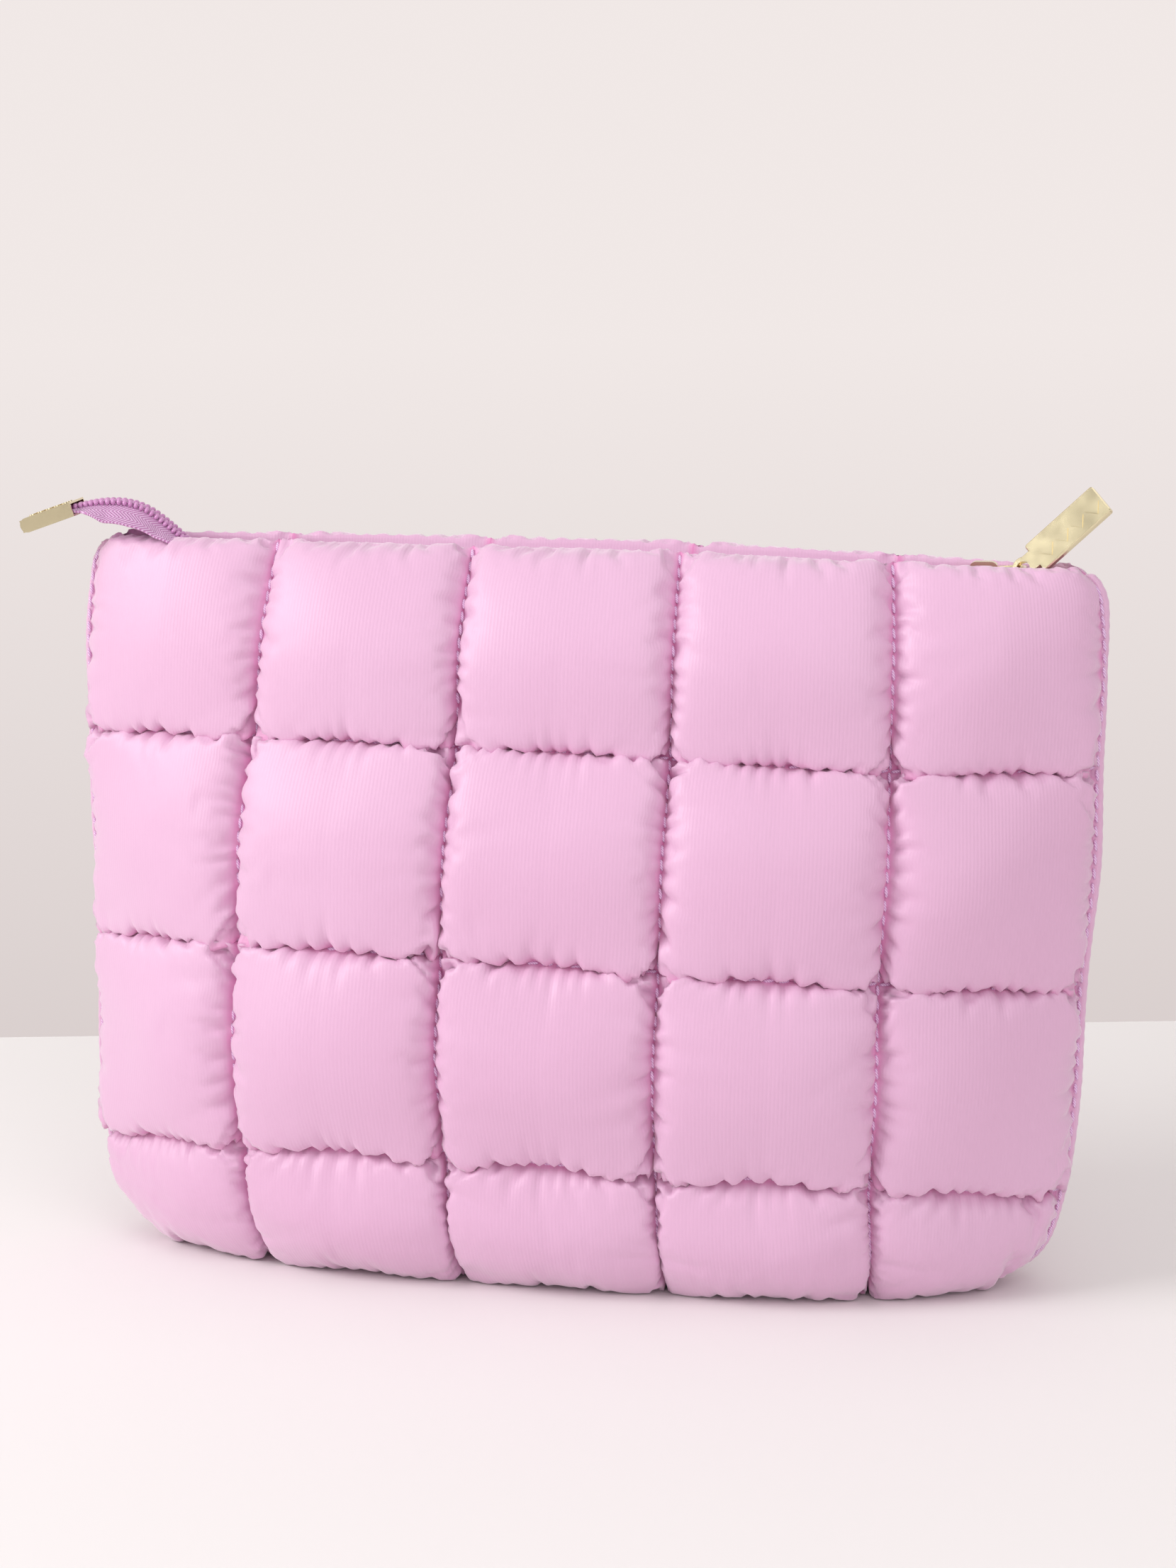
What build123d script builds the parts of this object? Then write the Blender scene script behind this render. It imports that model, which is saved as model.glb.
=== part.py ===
from build123d import *

import os
from math import cos, radians, sin
from typing import NamedTuple

# A quilted, padded makeup bag that stands on a small flat base. The front and back walls are sewn
# together down both sides, and a zip with a loose tail and a bar pull closes the mouth.
# Frame: +X to the right along the zip, +Y to the back, +Z up, origin in the middle of the base's
# underside. Millimetres throughout.

# --- Layers of a wall, from the outside in ---
SKIN = 0.8  # face fabric with the surface of the padding that is quilted to it
WADDING = 5.4
LINING = 0.6
SKIN_GAP = 0.1  # clearance between the skin and the wadding
LINING_GAP = 0.3  # clearance between the wadding and the lining
SKIN_INSET = SKIN + SKIN_GAP
WADDING_INSET = SKIN_INSET + WADDING
LINING_INSET = WADDING_INSET + LINING_GAP
INNER_INSET = LINING_INSET + LINING
SIDE_GAP = 0.8  # half the space left between the two walls for the side seam
SIDE_SEAM = 1.0  # thickness of the sewn seam that stands in that space
ROUNDNESS = 0.9  # exponent that rounds a wall's plan curve off towards the side seam


class Level(NamedTuple):
    """One horizontal slice of a wall: its outer size, and how it meets the side seam."""

    height: float
    half_width: float
    half_depth: float
    boxiness: float
    flange: float


LEVELS = [
    Level(3.5, 101.0, 24.0, 6.0, 8.0),
    Level(8.0, 108.5, 29.0, 5.2, 8.0),
    Level(15.0, 114.5, 33.0, 4.5, 8.0),
    Level(36.0, 119.5, 37.0, 3.4, 8.0),
    Level(60.0, 120.8, 39.5, 3.1, 8.0),
    Level(84.0, 120.5, 38.5, 3.0, 8.0),
    Level(108.0, 122.0, 36.5, 3.0, 8.0),
    Level(133.0, 122.2, 30.0, 3.4, 8.0),
    Level(154.0, 122.6, 24.5, 5.5, 7.0),
    Level(168.0, 122.5, 19.0, 9.0, 6.0),
    Level(176.5, 121.5, 16.0, 12.0, 6.0),
]
FOOT, HEM = LEVELS[0], LEVELS[-1]
SPAN = (0.4, 0.7, 0.85, 0.94, 1.0)  # where a plan curve is drawn, as shares of the half width
LINING_BOTTOM = 8.2
LINING_TOP = 166.0
BASE_HEIGHTS = (0.0, SKIN, SKIN_INSET, 6.2, 6.5, 7.1)  # skin, wadding and lining of the base
BASE_CLEARANCE = 0.4  # between the base and the feet of the walls

# --- Zip ---
ZIP_HEIGHT = 169.0  # middle of the tapes under the slider
TAPE = 0.6
TAPE_FLAT = 6.3  # the tape lies flat this far each side, then turns up along the wall
TAPE_EDGE = (7.4, 175.8)
COIL_WIDTH = 2.8
COIL_HEIGHT = 1.7
COIL_GAP = 0.1  # from the zip's middle line to each row of coil
ZIP_LEFT = -85.0
ZIP_RIGHT = 104.4
SPLIT_START, SPLIT_END = 95.3, 98.8  # where the two rows part to pass the slider's wedge
SPLIT_SHIFT = 1.7
STOP_LENGTH = 1.6

# --- Slider, link and pull, stored at the closed end of the zip ---
SLIDER_X = 97.0  # middle of the slider
SLIDER_HALF = 6.0
PLATE = 1.3
RUN_GAP = 0.3  # clearance of the slider over coil and tape
SLIDER_NARROW, SLIDER_WIDE = 4.3, 5.9
CHANNEL_NARROW, CHANNEL_WIDE = 3.3, 4.9
WEDGE_HALF = 1.4
CROWN_HALF_LENGTH = 3.2
CROWN_RISE = 3.4
CROWN_BAND = 0.9
CROWN_WIDTH = 2.4
LINK_AXIS = (SLIDER_X + 0.6, 174.1)  # X and Z of the line that the link turns on
LINK_LENGTH = 8.8  # between the wires under the crown and through the pull's eye
LINK_HALF_WIDTH = 4.2
LINK_WIRE = 0.6  # radius
LINK_CORNER = 2.4
LINK_ANGLE = 4.0  # above +X, as stored
PULL_LENGTH = 24.2  # from the eye to the far end
PULL_WIDTH = 8.0
PULL_THICKNESS = 1.9
PULL_NECK = 3.4  # from the eye to where the bar is full width
PULL_ANGLE = 43.0  # above +X, as stored
PULL_TWIST = -25.0  # about its own length
EYE_HOLE = 1.65
EYE_RADIUS = 2.8
MOTIF_COUNT = 4
MOTIF_PITCH = 4.7
MOTIF_RISE = 0.25

# --- Loose tail of the zip, which leaves the mouth at the left and ends in a metal clip ---
TAIL_X = -89.0  # where the tail turns out of the zip's plane
TAIL_YAW = 6.0  # the tail swings this far to the front
TAIL_PATH = [(3.0, 169.0), (-1.0, 169.0), (-12.0, 181.0), (-19.0, 187.2)]
TAIL_PATH += [(-27.0, 189.0), (-34.5, 187.2), (-47.0, 182.9)]
TAIL_RADII = [5.0, 14.0, 12.0, 14.0, 16.0]
TAIL_OUTLINE = [(4.0, 6.0), (-10.0, 6.3), (-15.0, 7.4), (-22.0, 8.4), (-29.0, 8.0), (-34.0, 5.5)]
TAIL_OUTLINE += [(-49.0, 5.5)]
CLIP_LENGTH = 13.5
CLIP_HALF_WIDTH = 6.4
CLIP_SHEET = 0.5
CLIP_BEND = 1.5
CLIP_START = 1.3  # along the tail's last run
BEAD_ROWS, BEAD_COUNT = 3, 5
BEAD_PITCH = 2.2
BEAD_RADIUS = 0.75
BEAD_RISE = 0.25


def plan_curve(level, inset):
    """Points from the left end to the right end of the front wall's surface, that far inside it."""
    half_width = level.half_width - level.flange * inset / INNER_INSET
    depth = level.half_depth - inset - SIDE_GAP
    shares = [-share for share in reversed(SPAN)] + [0.0] + list(SPAN)
    return [
        (half_width * share, -SIDE_GAP - depth * (1 - abs(share) ** level.boxiness) ** ROUNDNESS)
        for share in shares
    ]


def wall_layer(outer_inset, inner_inset):
    """One layer of the front wall, lofted through every level."""
    with BuildPart() as layer:
        for level in LEVELS:
            with BuildSketch(Plane.XY.offset(level.height)):
                with BuildLine():
                    outer = Spline(*plan_curve(level, outer_inset))
                    inner = Spline(*plan_curve(level, inner_inset))
                    Line(outer @ 0, inner @ 0)
                    Line(outer @ 1, inner @ 1)
                make_face()
        loft()
    return layer


def mirrored(piece):
    """The same piece on the other side of the zip."""
    with BuildPart() as copy:
        add(mirror(piece.part, about=Plane.XZ))
    return copy


def lining_layer():
    """The lining of the front wall, which stops short of the base and of the zip."""
    full_height = wall_layer(LINING_INSET, INNER_INSET)
    with BuildPart() as lining:
        add(full_height)
        split(bisect_by=Plane.XY.offset(LINING_BOTTOM), keep=Keep.TOP)
        split(bisect_by=Plane.XY.offset(LINING_TOP), keep=Keep.BOTTOM)
    return lining


def base_layer(bottom, top):
    """One layer of the base, which fills the space between the feet of the two walls."""
    front_edge = plan_curve(FOOT, INNER_INSET + BASE_CLEARANCE)
    with BuildPart() as layer:
        with BuildSketch(Plane.XY.offset(bottom)):
            with BuildLine():
                front = Spline(*front_edge)
                back = Spline(*[(x, -y) for x, y in front_edge])
                Line(front @ 0, back @ 0)
                Line(front @ 1, back @ 1)
            make_face()
        extrude(amount=top - bottom)
    return layer


def side_seam(side):
    """The sewn edges of the two walls, standing between them; side is +1 at the right."""
    outer = [(side * (level.half_width - 0.6), level.height) for level in LEVELS]
    inner = [(side * (level.half_width - level.flange), level.height) for level in LEVELS]
    base_end = plan_curve(FOOT, INNER_INSET + BASE_CLEARANCE)[-1][0]
    inner[0] = (side * base_end, FOOT.height)
    with BuildPart() as seam:
        with BuildSketch(Plane.XZ):
            with BuildLine():
                outer_edge = Spline(*outer)
                inner_edge = Spline(*inner)
                Line(outer_edge @ 0, inner_edge @ 0)
                Line(outer_edge @ 1, inner_edge @ 1)
            make_face()
        extrude(amount=SIDE_SEAM / 2, both=True)
    return seam


def directions(points):
    """The direction of each run of a polyline."""
    return [(Vector(*b) - Vector(*a)).normalized() for a, b in zip(points, points[1:])]


def parallel(points, shift):
    """A polyline moved sideways, to its left as it is walked."""
    normals = [Vector(-run.Y, run.X) for run in directions(points)]
    corners = [(m + n) * (1 / (1 + m.dot(n))) for m, n in zip(normals, normals[1:])]
    moves = [normals[0], *corners, normals[-1]]
    return [Vector(*point) + move * shift for point, move in zip(points, moves)]


def shifted_radii(points, radii, shift):
    """The bend radii of that moved polyline."""
    runs = directions(points)
    lefts = [1 if a.X * b.Y - a.Y * b.X > 0 else -1 for a, b in zip(runs, runs[1:])]
    return [radius - left * shift for radius, left in zip(radii, lefts)]


def band(points, radii, low, high):
    """A strip of even thickness along a bent polyline, as a sketch."""
    with BuildSketch() as strip:
        with BuildLine():
            edges = [
                FilletPolyline(*parallel(points, shift), radius=shifted_radii(points, radii, shift))
                for shift in (low, high)
            ]
            Line(edges[0] @ 0, edges[1] @ 0)
            Line(edges[0] @ 1, edges[1] @ 1)
        make_face()
    return strip.sketch


def zip_tape():
    """The front tape: flat under the coil, then turned up the inside of the wall."""
    section = [(-COIL_GAP, ZIP_HEIGHT), (-TAPE_FLAT, ZIP_HEIGHT), (-TAPE_EDGE[0], TAPE_EDGE[1])]
    with BuildPart() as tape:
        with BuildSketch(Plane.YZ.offset(ZIP_LEFT)):
            add(band(section, [1.2], -TAPE / 2, TAPE / 2))
        extrude(amount=ZIP_RIGHT - ZIP_LEFT)
        with BuildSketch(Plane.XY.offset(ZIP_HEIGHT)):
            with BuildLine():
                Polyline(
                    (SPLIT_START, 0),
                    (SPLIT_END, -SPLIT_SHIFT),
                    (ZIP_RIGHT, -SPLIT_SHIFT),
                    (ZIP_RIGHT, 0),
                    close=True,
                )
            make_face()
        extrude(amount=TAPE, both=True, mode=Mode.SUBTRACT)
    return tape


def zip_coil():
    """The front row of coil, which parts from the other row inside the slider."""
    near, far = -COIL_GAP, -COIL_GAP - COIL_WIDTH
    with BuildPart() as coil:
        with BuildSketch(Plane.XY.offset(ZIP_HEIGHT + TAPE / 2)):
            with BuildLine():
                Polyline(
                    (ZIP_LEFT, near),
                    (SPLIT_START, near),
                    (SPLIT_END, near - SPLIT_SHIFT),
                    (ZIP_RIGHT - STOP_LENGTH, near - SPLIT_SHIFT),
                    (ZIP_RIGHT - STOP_LENGTH, far - SPLIT_SHIFT),
                    (SPLIT_END, far - SPLIT_SHIFT),
                    (SPLIT_START, far),
                    (ZIP_LEFT, far),
                    close=True,
                )
            make_face()
        extrude(amount=COIL_HEIGHT)
        long_edges = coil.faces().sort_by(Axis.Z)[-1].edges().filter_by(Axis.X)
        fillet(long_edges, 0.5)
    return coil


def top_stop():
    """The small metal stop clamped to the end of the front row."""
    with BuildPart() as stop:
        middle = Vector(
            ZIP_RIGHT - STOP_LENGTH / 2,
            -COIL_GAP - COIL_WIDTH / 2 - SPLIT_SHIFT,
            ZIP_HEIGHT + TAPE / 2 + COIL_HEIGHT / 2 + 0.1,
        )
        with Locations(middle):
            Box(STOP_LENGTH, COIL_WIDTH, COIL_HEIGHT + 0.2)
        fillet(stop.edges().filter_by(Axis.X), 0.4)
    return stop


def slider_outline(narrow, wide):
    """The slider's plan: narrow at the tail end, wide where the two rows enter."""
    left, right = SLIDER_X - SLIDER_HALF, SLIDER_X + SLIDER_HALF
    front = [(left, -narrow), (left + 4.0, -narrow), (left + 7.5, -wide), (right, -wide)]
    back = [(x, -y) for x, y in reversed(front)]
    with BuildSketch() as outline:
        with BuildLine():
            Polyline(*front, *back, close=True)
        make_face()
    return outline.sketch


def slider_plate(bottom):
    """One of the slider's two plates, with its corners rounded in plan."""
    with BuildPart() as plate:
        with BuildSketch(Plane.XY.offset(bottom)):
            add(slider_outline(SLIDER_NARROW, SLIDER_WIDE))
        extrude(amount=PLATE)
        fillet(plate.edges().filter_by(Axis.Z), 0.8)
    return plate.part


def slider_body():
    """Two plates joined by the wedge, with flanges that hold the coil in."""
    tape_top = ZIP_HEIGHT + TAPE / 2
    ceiling = tape_top + COIL_HEIGHT + RUN_GAP
    floor = ZIP_HEIGHT - TAPE / 2 - RUN_GAP
    with BuildPart() as body:
        add(slider_plate(floor - PLATE))
        add(slider_plate(ceiling))
        with BuildSketch(Plane.XY.offset(tape_top + RUN_GAP)):
            add(slider_outline(SLIDER_NARROW, SLIDER_WIDE))
            add(slider_outline(CHANNEL_NARROW, CHANNEL_WIDE), mode=Mode.SUBTRACT)
            with Locations((SLIDER_X, 0)):
                Rectangle(3 * SLIDER_HALF, 2 * CHANNEL_NARROW, mode=Mode.SUBTRACT)
        extrude(amount=ceiling - tape_top - RUN_GAP)
        with BuildSketch(Plane.XY.offset(floor)):
            with Locations((SLIDER_X + 4.0, 0)):
                SlotOverall(3.6, 2 * WEDGE_HALF)
        extrude(amount=ceiling - floor)
    return body


def slider_crown():
    """The arch on the slider's top plate that the link hangs from."""
    plate_top = ZIP_HEIGHT + TAPE / 2 + COIL_HEIGHT + RUN_GAP + PLATE
    foot = CROWN_HALF_LENGTH
    arch = [(-foot, 0.0), (-foot + 0.4, CROWN_RISE), (foot - 0.4, CROWN_RISE), (foot, 0.0)]
    points = [(SLIDER_X + x, plate_top + z) for x, z in arch]
    with BuildPart() as crown:
        with BuildSketch(Plane.XZ):
            add(band(points, [1.3, 1.3], -CROWN_BAND / 2, CROWN_BAND / 2))
            with Locations((SLIDER_X, plate_top - 5)):
                Rectangle(20, 10, mode=Mode.SUBTRACT)
        extrude(amount=CROWN_WIDTH / 2, both=True)
    return crown


def link_plane():
    """Local x along the link, local y across it."""
    angle = radians(LINK_ANGLE)
    return Plane(
        origin=(LINK_AXIS[0], 0, LINK_AXIS[1]),
        x_dir=(cos(angle), 0, sin(angle)),
        z_dir=(-sin(angle), 0, cos(angle)),
    )


def pull_link():
    """A closed ring of round wire, through the crown and through the pull's eye."""
    with BuildPart() as link:
        with BuildLine(link_plane()) as loop:
            corners = [
                (0, -LINK_HALF_WIDTH),
                (LINK_LENGTH, -LINK_HALF_WIDTH),
                (LINK_LENGTH, LINK_HALF_WIDTH),
                (0, LINK_HALF_WIDTH),
            ]
            FilletPolyline(*corners, radius=LINK_CORNER, close=True)
        start = loop.line @ 0
        with BuildSketch(Plane(origin=start, z_dir=loop.line % 0)):
            Circle(LINK_WIRE)
        sweep()
    return link


def pull_plane():
    """Local x along the pull, local y across its face; the origin is in its eye."""
    eye = link_plane().from_local_coords(Vector(LINK_LENGTH, 0, 0))
    angle, twist = radians(PULL_ANGLE), radians(PULL_TWIST)
    along = Vector(cos(angle), 0, sin(angle))
    level = Vector(sin(angle), 0, -cos(angle))
    across = level * cos(twist) + Vector(0, 1, 0) * sin(twist)
    return Plane(origin=eye, x_dir=along, z_dir=along.cross(across))


def pull_tab():
    """A flat bar with an eye at one end and a row of raised lozenges on both faces."""
    plane = pull_plane()
    bar_length = PULL_LENGTH - PULL_NECK
    motif_middle = PULL_NECK + bar_length / 2 + 0.5
    with BuildPart() as tab:
        with BuildSketch(plane.offset(-PULL_THICKNESS / 2)):
            with Locations((PULL_NECK + bar_length / 2, 0)):
                RectangleRounded(bar_length, PULL_WIDTH, 0.7)
            with Locations((PULL_NECK / 2 + 0.5, 0)):
                Rectangle(PULL_NECK + 1.0, 2 * EYE_RADIUS - 0.8)
            Circle(EYE_RADIUS)
        extrude(amount=PULL_THICKNESS)
        broad_faces = tab.faces().sort_by(SortBy.AREA)[-2:]
        chamfer(broad_faces.edges(), 0.25)
        for side in (-1, 1):
            with BuildSketch(plane.offset(side * PULL_THICKNESS / 2)):
                with Locations((motif_middle, 0)):
                    with GridLocations(MOTIF_PITCH, 1, MOTIF_COUNT, 1):
                        Polygon((-2.0, 0), (0, -2.4), (2.0, 0), (0, 2.4))
            extrude(amount=side * MOTIF_RISE)
        with BuildSketch(plane.offset(-PULL_THICKNESS)):
            Circle(EYE_HOLE)
        extrude(amount=2 * PULL_THICKNESS, mode=Mode.SUBTRACT)
    return tab


def tail_plane():
    """The upright plane of the tail: local x to the right along it, local y up."""
    yaw = radians(TAIL_YAW)
    return Plane(
        origin=(TAIL_X, 0, 0), x_dir=(cos(yaw), sin(yaw), 0), z_dir=(sin(yaw), -cos(yaw), 0)
    )


def tail_plan_plane():
    """The level plane of the tail: local x to the right along it, local y to the back."""
    yaw = radians(TAIL_YAW)
    return Plane(origin=(TAIL_X, 0, 0), x_dir=(cos(yaw), sin(yaw), 0), z_dir=(0, 0, 1))


def tail_strip(low, high, outline):
    """A strip along the tail's path, between two heights over it, cut to a plan outline."""
    with BuildPart() as strip:
        with BuildSketch(tail_plane()):
            add(band(TAIL_PATH, TAIL_RADII, low, high))
        extrude(amount=HEM.half_depth, both=True)
        with BuildSketch(tail_plan_plane()):
            with BuildLine():
                Polyline(*outline, close=True)
            make_face()
        extrude(amount=HEM.height * 2, mode=Mode.INTERSECT)
    return strip


def tail_tape(side):
    """Half of the tail's tape; side is -1 at the front."""
    inner = side * COIL_GAP
    edge = [(x, side * half) for x, half in TAIL_OUTLINE]
    outline = [(TAIL_OUTLINE[0][0], inner), *edge, (TAIL_OUTLINE[-1][0], inner)]
    return tail_strip(-TAPE / 2, TAPE / 2, outline)


def tail_coil(side):
    """Half of the tail's coil, on top of its tape."""
    near, far = side * COIL_GAP, side * (COIL_GAP + COIL_WIDTH)
    left, right = TAIL_OUTLINE[-1][0], TAIL_OUTLINE[0][0]
    outline = [(left, near), (right, near), (right, far), (left, far)]
    return tail_strip(-TAPE / 2 - COIL_HEIGHT, -TAPE / 2, outline)


def tail_clip():
    """A folded metal cap over the tail's end, closed at both sides, with rows of beads on top."""
    corner, end = TAIL_PATH[-2], TAIL_PATH[-1]
    run = (Vector(*end) - Vector(*corner)).normalized()
    up = Vector(run.Y, -run.X)
    half_gap = (TAPE + COIL_HEIGHT) / 2 + 0.15
    middle = half_gap + CLIP_SHEET / 2
    start = Vector(*corner) + run * CLIP_START + up * (COIL_HEIGHT / 2)
    fold = start + run * CLIP_LENGTH
    points = [start + up * middle, fold + up * middle, fold - up * middle, start - up * middle]
    points = [(point.X, point.Y) for point in points]
    beads_at = start + run * (CLIP_LENGTH / 2) + up * (middle + CLIP_SHEET / 2)
    plane = tail_plane()
    bead_plane = Plane(
        origin=plane.from_local_coords(beads_at),
        x_dir=plane.from_local_coords(beads_at + run) - plane.from_local_coords(beads_at),
        z_dir=plane.from_local_coords(beads_at + up) - plane.from_local_coords(beads_at),
    )
    with BuildPart() as clip:
        with BuildSketch(plane):
            add(band(points, [CLIP_BEND, CLIP_BEND], -CLIP_SHEET / 2, CLIP_SHEET / 2))
        extrude(amount=CLIP_HALF_WIDTH, both=True)
        for side in (-1, 1):
            with BuildSketch(plane.offset(side * (CLIP_HALF_WIDTH - CLIP_SHEET / 2))):
                with BuildLine():
                    Polyline(*points, close=True)
                make_face()
            extrude(amount=CLIP_SHEET / 2, both=True)
        with BuildSketch(bead_plane.offset(-0.1)):
            with GridLocations(BEAD_PITCH, BEAD_PITCH, BEAD_COUNT, BEAD_ROWS):
                Circle(BEAD_RADIUS)
        extrude(amount=BEAD_RISE + 0.1)
    return clip


def write(piece, name):
    """Labels a finished piece and writes it as its own STEP file."""
    piece.part.label = name
    export_step(piece.part, f"parts/{name}.step")


def main():
    os.makedirs("parts", exist_ok=True)

    front_layers = {
        "panel": wall_layer(0, SKIN),
        "wadding": wall_layer(SKIN_INSET, WADDING_INSET),
        "lining": lining_layer(),
        "zip_tape": zip_tape(),
        "zip_coil": zip_coil(),
        "top_stop": top_stop(),
    }
    for name, layer in front_layers.items():
        write(layer, f"front_{name}")
        write(mirrored(layer), f"back_{name}")

    base_names = ("base_panel", "base_wadding", "base_lining")
    for name, bottom, top in zip(base_names, BASE_HEIGHTS[::2], BASE_HEIGHTS[1::2]):
        write(base_layer(bottom, top), name)

    for name, side in (("left", -1), ("right", 1)):
        write(side_seam(side), f"{name}_side_seam")

    for name, side in (("front", -1), ("back", 1)):
        write(tail_tape(side), f"tail_tape_{name}")
        write(tail_coil(side), f"tail_coil_{name}")

    write(slider_body(), "slider_body")
    write(slider_crown(), "slider_crown")
    write(pull_link(), "pull_link")
    write(pull_tab(), "pull_tab")
    write(tail_clip(), "tail_clip")


main()
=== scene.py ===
from math import cos, pi, radians, sin

import bpy
import numpy as np
from mathutils import Matrix, Vector


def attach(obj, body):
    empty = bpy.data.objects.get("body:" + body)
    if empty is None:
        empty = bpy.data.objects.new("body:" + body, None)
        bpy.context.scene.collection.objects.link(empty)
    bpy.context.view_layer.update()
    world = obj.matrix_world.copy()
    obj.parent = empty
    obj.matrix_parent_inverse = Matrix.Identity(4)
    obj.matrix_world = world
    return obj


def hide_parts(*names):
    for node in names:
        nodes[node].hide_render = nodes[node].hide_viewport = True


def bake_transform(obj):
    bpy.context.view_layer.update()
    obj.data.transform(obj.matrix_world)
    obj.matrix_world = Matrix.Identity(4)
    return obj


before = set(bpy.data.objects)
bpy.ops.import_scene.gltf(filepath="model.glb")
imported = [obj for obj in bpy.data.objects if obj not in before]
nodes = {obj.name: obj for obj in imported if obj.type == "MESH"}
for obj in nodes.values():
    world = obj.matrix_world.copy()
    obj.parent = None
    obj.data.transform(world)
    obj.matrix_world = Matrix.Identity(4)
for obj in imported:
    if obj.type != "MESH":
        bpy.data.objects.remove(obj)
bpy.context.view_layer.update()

# A puffy quilted makeup bag. Points are worked out in millimetres and turned into metres as each
# mesh is made. X runs along the zip, -Y is the front, and the bag stands on Z = 0.
MM = 0.001

# --- Quilting: five squares across each wall and four down it, sewn every 50 mm ---
COLUMNS, ROWS = 5, 4
CELLS = 30  # cloth cells along each side of a quilting square
SQUARE = 50.0
CELL = SQUARE / CELLS
# Seam lines of a wall, at every half square down it: height, depth in the middle, the inner and
# the outer upright seam, the side seam, and how boxy the wall is in plan.
SEAM_LEVELS = np.array([
    (177.5, 8.8, 24.5, 72.9, 120.5, 2.3),
    (157.0, 21.0, 25.3, 76.3, 123.0, 2.8),
    (132.5, 22.3, 25.1, 74.9, 121.9, 2.7),
    (109.0, 32.0, 25.8, 77.0, 122.5, 2.9),
    (84.0, 32.4, 25.4, 75.5, 120.0, 2.85),
    (60.0, 36.0, 26.0, 77.0, 121.0, 3.0),
    (36.0, 29.6, 25.6, 75.5, 119.4, 3.1),
    (14.0, 28.5, 25.4, 74.5, 113.0, 3.4),
    (1.5, 16.0, 24.5, 71.0, 97.0, 4.0),
])
# How far each seam crossing lies from those even lines, to the right and up, from the left side seam
# to the right one: the bag leans and sags a little, and its sides droop.
SEAM_SHIFT = np.array([
    [(-0.2, 3.4), (0.2, 2.4), (1.0, 1.6), (2.2, 0.8), (3.6, -1.2), (2.6, -2.2)],
    [(-1.0, 0.4), (1.5, 1.4), (1.0, 1.0), (1.8, 0.0), (1.6, -2.0), (1.9, -2.8)],
    [(-2.2, 0.2), (-1.7, 1.3), (0.0, 0.9), (1.3, -0.7), (2.3, -3.3), (1.8, -4.2)],
    [(-2.2, -1.4), (-2.5, 1.2), (-0.6, 1.2), (0.2, -0.6), (0.6, -3.5), (0.8, -6.0)],
    [(-3.8, -2.5), (-4.3, 0.6), (-2.0, 0.9), (-0.3, -1.1), (0.1, -3.9), (0.6, -8.0)],
    [(-4.0, -4.6), (-4.9, -0.4), (-2.5, 0.4), (-1.9, -1.4), (-1.4, -4.0), (-1.2, -9.6)],
    [(-5.0, -6.5), (-5.0, -1.6), (-2.3, -0.4), (-2.2, -2.3), (-2.0, -4.0), (-2.6, -11.0)],
    [(-6.5, -3.5), (-4.6, 0.6), (-2.0, 0.6), (-1.6, -0.4), (-0.9, -1.0), (-1.6, -4.5)],
    [(-8.0, 0.0), (-4.0, 0.0), (-1.2, 0.0), (-0.6, 0.0), (0.6, 0.0), (1.0, 0.0)],
])
CORNER = 8.0  # radius of the top corners
SIDE_GAP = 1.0  # a wall's edge stands this far from the middle plane
HEM_CELLS = 6  # the top edge turns in over this many cells
HEM_INSET = 6.4  # where the turned edge meets the zip tape
HEM_DROP = 8.0  # how far below the crest that edge lies
HEM_ROLL = 1.0  # the cloth rises this far over the crest as it turns
FULLNESS = 0.12  # the cloth is cut this much larger than the seams that hold it
NEEDLE_DIP = 0.4  # each needle hole pulls the cloth in
SEAM_BOW = 1.8  # a level seam stands out this far midway between two upright ones
STITCH_STAND = 0.1  # a stitch's middle stands this far off the seam
FLOOR_GAP = 0.35  # the walls stay this far above the floor, as the base carries the bag

# --- Puffs: the cloth between the seams ---
SIM_SCALE = 20.0  # the solver behaves best on a sheet a few metres wide
SIM_STEPS, QUICK_SIM_STEPS = 25, 7
START_LIFT = 3.0  # the cloth starts this far out, in the middle of a square
START_RANDOM = 0.12
PUFF_GAIN = 1.1
PUFF_LIMIT = 5.2  # padding and seams keep the cloth from rising further than this
OVERHANG = 0.75  # share of its own rise by which a square's lower edge hangs over the seam
UPLIFT = 0.3  # share of its own rise by which a square's upper edge stands up to the seam
CORNER_FILL = 0.85  # how far the padding fills the corners of a square
CORNER_NEAR = 0.25  # inside this share of half a square, a corner is filled no further
FINER = 2  # the finished cloth has this many cells for each one of the simulated cloth

# --- Zip ---
ZIP_LEFT, ZIP_RIGHT = -85.0, 104.4
TAPE_END = 118.0  # the tapes close the mouth out to here at both ends
TAPE_HEIGHT, TAPE = 169.0, 0.6  # height of the tape's middle, and its thickness
COIL_WIDTH, COIL_HEIGHT, COIL_GAP = 2.8, 1.7, 0.1
COIL_PITCH, COIL_LEAN = 1.35, 0.22
THIRD = 24.5  # the walls' left, middle and right thirds meet here on the tape
# The rows of coil part where they enter the slider.
SPLIT_START, SPLIT_END, SPLIT_SHIFT = 95.3, 98.8, 1.7

# --- Side seams ---
FLANGE = 1.7  # the sewn edge stands out this far past its topstitching

# --- Loose tail ---
TAIL_X, TAIL_YAW = -89.0, 6.0
TAIL_PATH = [(3.0, 169.0), (-1.0, 169.0), (-12.0, 181.0), (-19.0, 187.2)]
TAIL_PATH += [(-27.0, 189.0), (-34.5, 187.2), (-47.0, 182.9)]


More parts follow.
